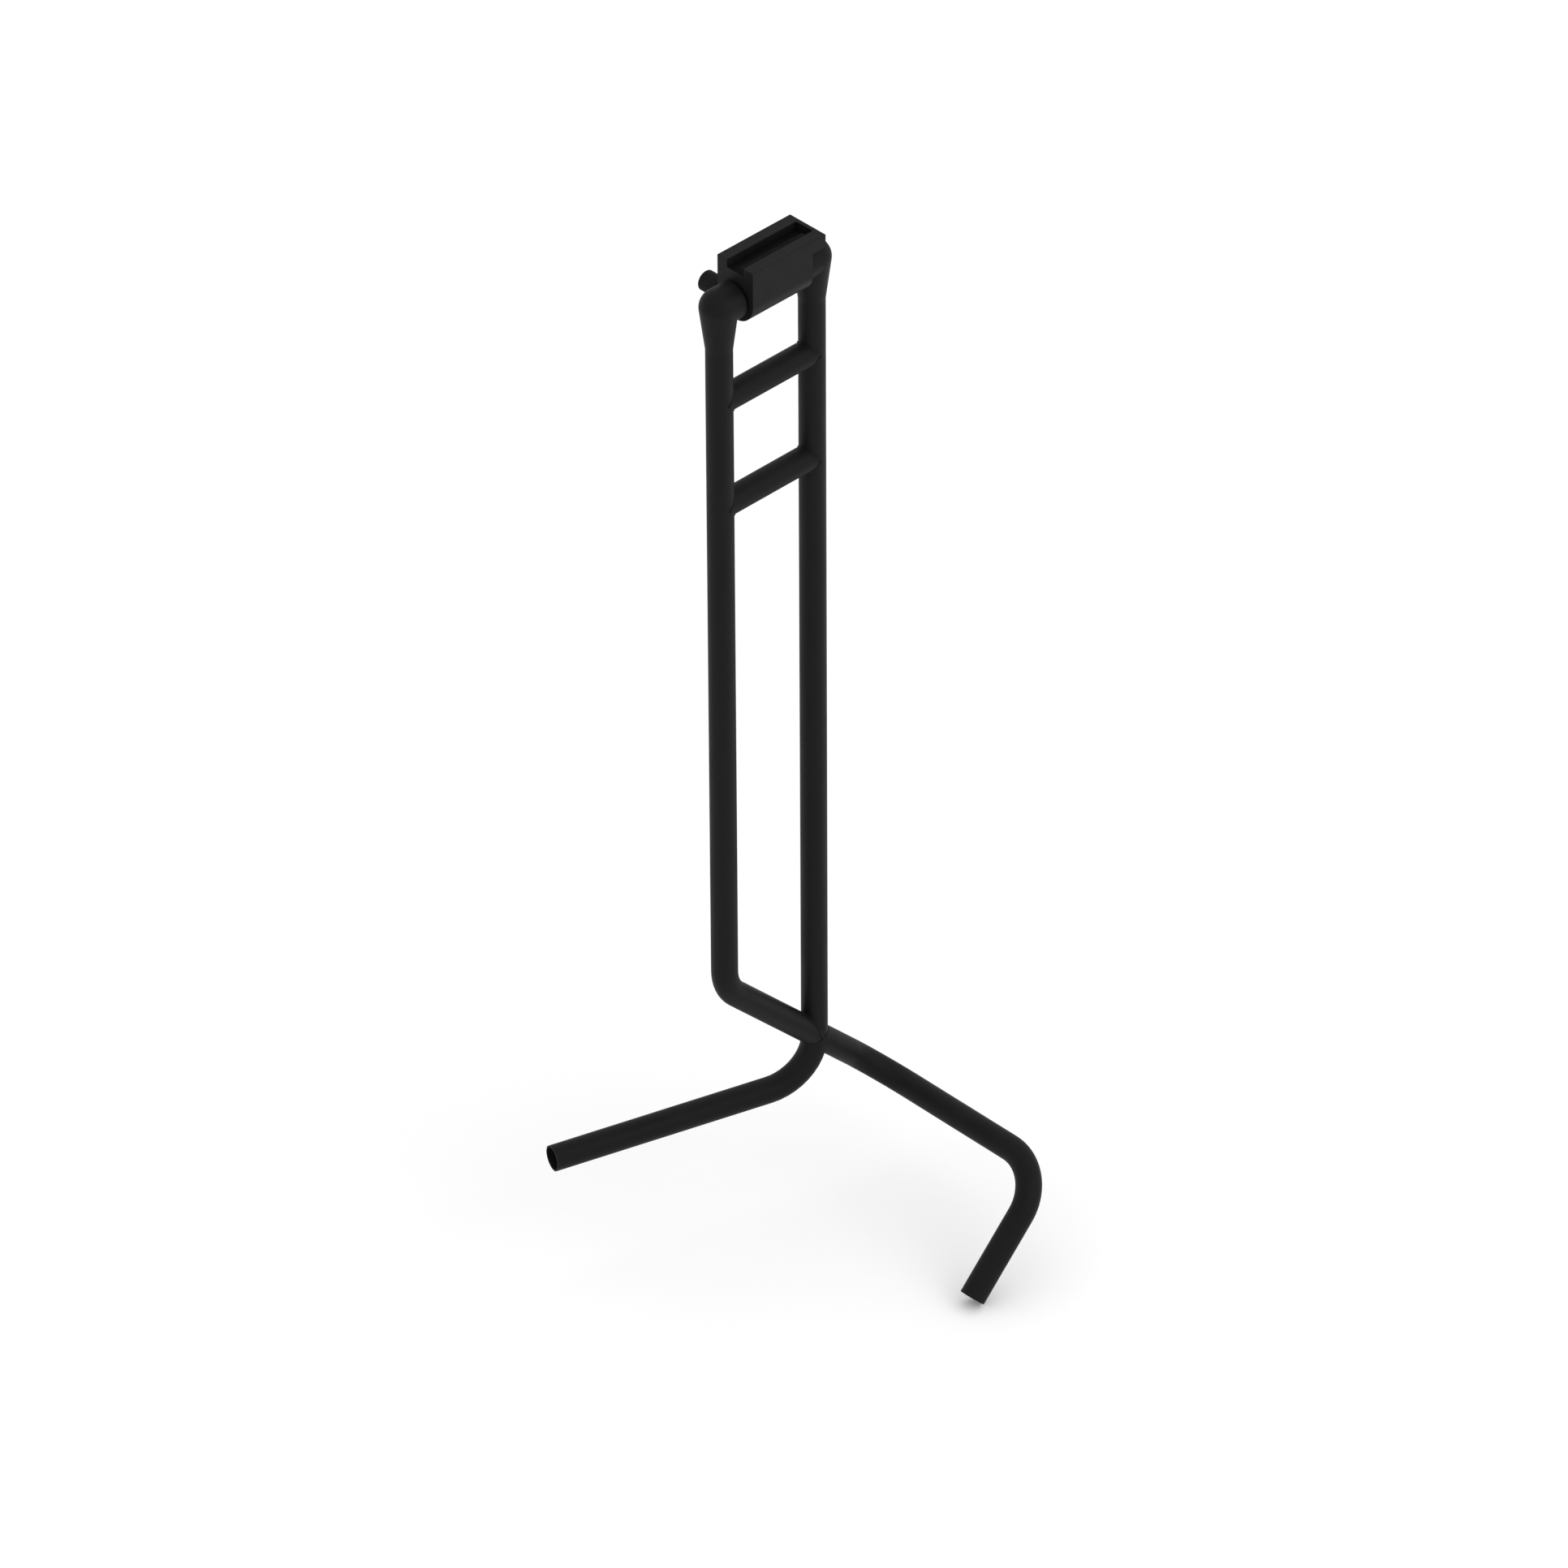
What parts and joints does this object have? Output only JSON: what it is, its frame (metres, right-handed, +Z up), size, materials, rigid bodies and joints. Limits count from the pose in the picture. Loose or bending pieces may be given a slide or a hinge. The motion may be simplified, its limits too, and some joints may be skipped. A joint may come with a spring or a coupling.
{
  "type": "rotating display rack",
  "caption": "Tall bent-tube rack frame whose slotted head tilts on an axle between two uprights and is locked by a knob behind it.",
  "frame": {"origin": "centre of the front leg's open tube end, where the frame plugs into what holds it", "axes": "+Z up along the uprights, +X from the left upright to the right one, -Y is the front"},
  "size_m": [0.355, 0.3302, 1.0909],
  "materials": {
    "frame_coat": "satin black powder coat",
    "head_plastic": "machined black nylon, fine satin",
    "knob_plastic": "moulded black, fine grain",
    "liner_rubber": "dull black",
    "washer_plastic": "black acetal",
    "bush_brass": "turned",
    "bright_steel": "ground, zinc plated",
    "black_oxide_steel": "black oxide"
  },
  "bodies": {
    "frame": {"left_frame_tube": "frame_coat", "right_frame_tube": "frame_coat", "front_leg_tube": "frame_coat", "lower_rung": "frame_coat", "upper_rung": "frame_coat", "left_end_fitting": "frame_coat", "right_end_fitting": "frame_coat", "fitting_screws": "black_oxide_steel", "axle_grub_screws": "black_oxide_steel", "pivot_axle": "bright_steel", "left_thrust_washer": "washer_plastic", "right_thrust_washer": "washer_plastic", "lower_rung_welds": "frame_coat", "upper_rung_welds": "frame_coat", "crossing_welds": "frame_coat"},
    "head": {"head_block": "head_plastic", "slot_liner": "liner_rubber", "pivot_bush": "bush_brass", "clamp_nut": "bright_steel"},
    "clamp_washer": {"lock_washer": "black_oxide_steel"},
    "lock_knob": {"lock_knob": "knob_plastic", "lock_stud": "bright_steel"}
  },
  "joints": [
    {"name": "head_tilt", "type": "hinge", "parent": "frame", "child": "head", "pos_m": [-0.04012, 0.2254, 1.04612], "axis": [1, 0, 0], "range_deg": [-100, 100]},
    {"name": "lock_travel", "type": "slide", "parent": "head", "child": "clamp_washer", "axis": [0, 1, 0], "range_m": [0, 0.0015]},
    {"name": "lock_turn", "type": "hinge", "parent": "clamp_washer", "child": "lock_knob", "pos_m": [-0.06652, 0.2479, 1.03682], "axis": [0, 1, 0], "range_deg": [0, 540]}
  ],
  "couplings": [
    {"joint": "lock_turn", "follows": "lock_travel", "rad_per_m": 6283.2}
  ]
}
